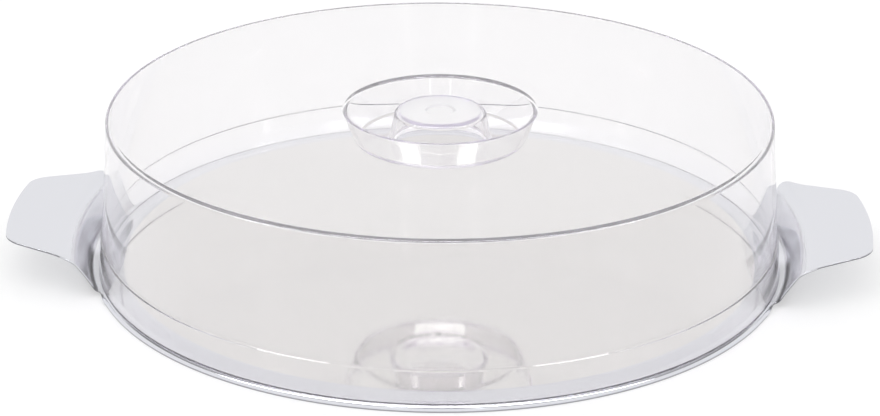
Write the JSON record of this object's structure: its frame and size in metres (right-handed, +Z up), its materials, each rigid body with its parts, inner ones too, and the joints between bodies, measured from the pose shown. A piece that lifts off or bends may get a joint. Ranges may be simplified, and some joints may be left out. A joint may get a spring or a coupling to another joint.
{
  "type": "cake dome with plate",
  "caption": "Clear round lift-off cake cover with a sunk grip and hollow knob, standing on a thin round steel serving tray with raised handles.",
  "frame": {"origin": "centre of the tray on the surface that it stands on", "axes": "+X from the middle towards one handle, +Y across the tray, +Z up"},
  "size_m": [0.387, 0.31, 0.0722],
  "materials": {
    "tray_steel": "mirror-polished floor, satin rim and handles",
    "clear_plastic": "clear and glossy"
  },
  "bodies": {
    "tray": {"tray": "tray_steel"},
    "cover": {"cover": "clear_plastic"}
  },
  "joints": [
    {"name": "cover_lift", "type": "slide", "parent": "tray", "child": "cover", "axis": [0, 0, 1], "range_m": [0, 0.1]}
  ]
}
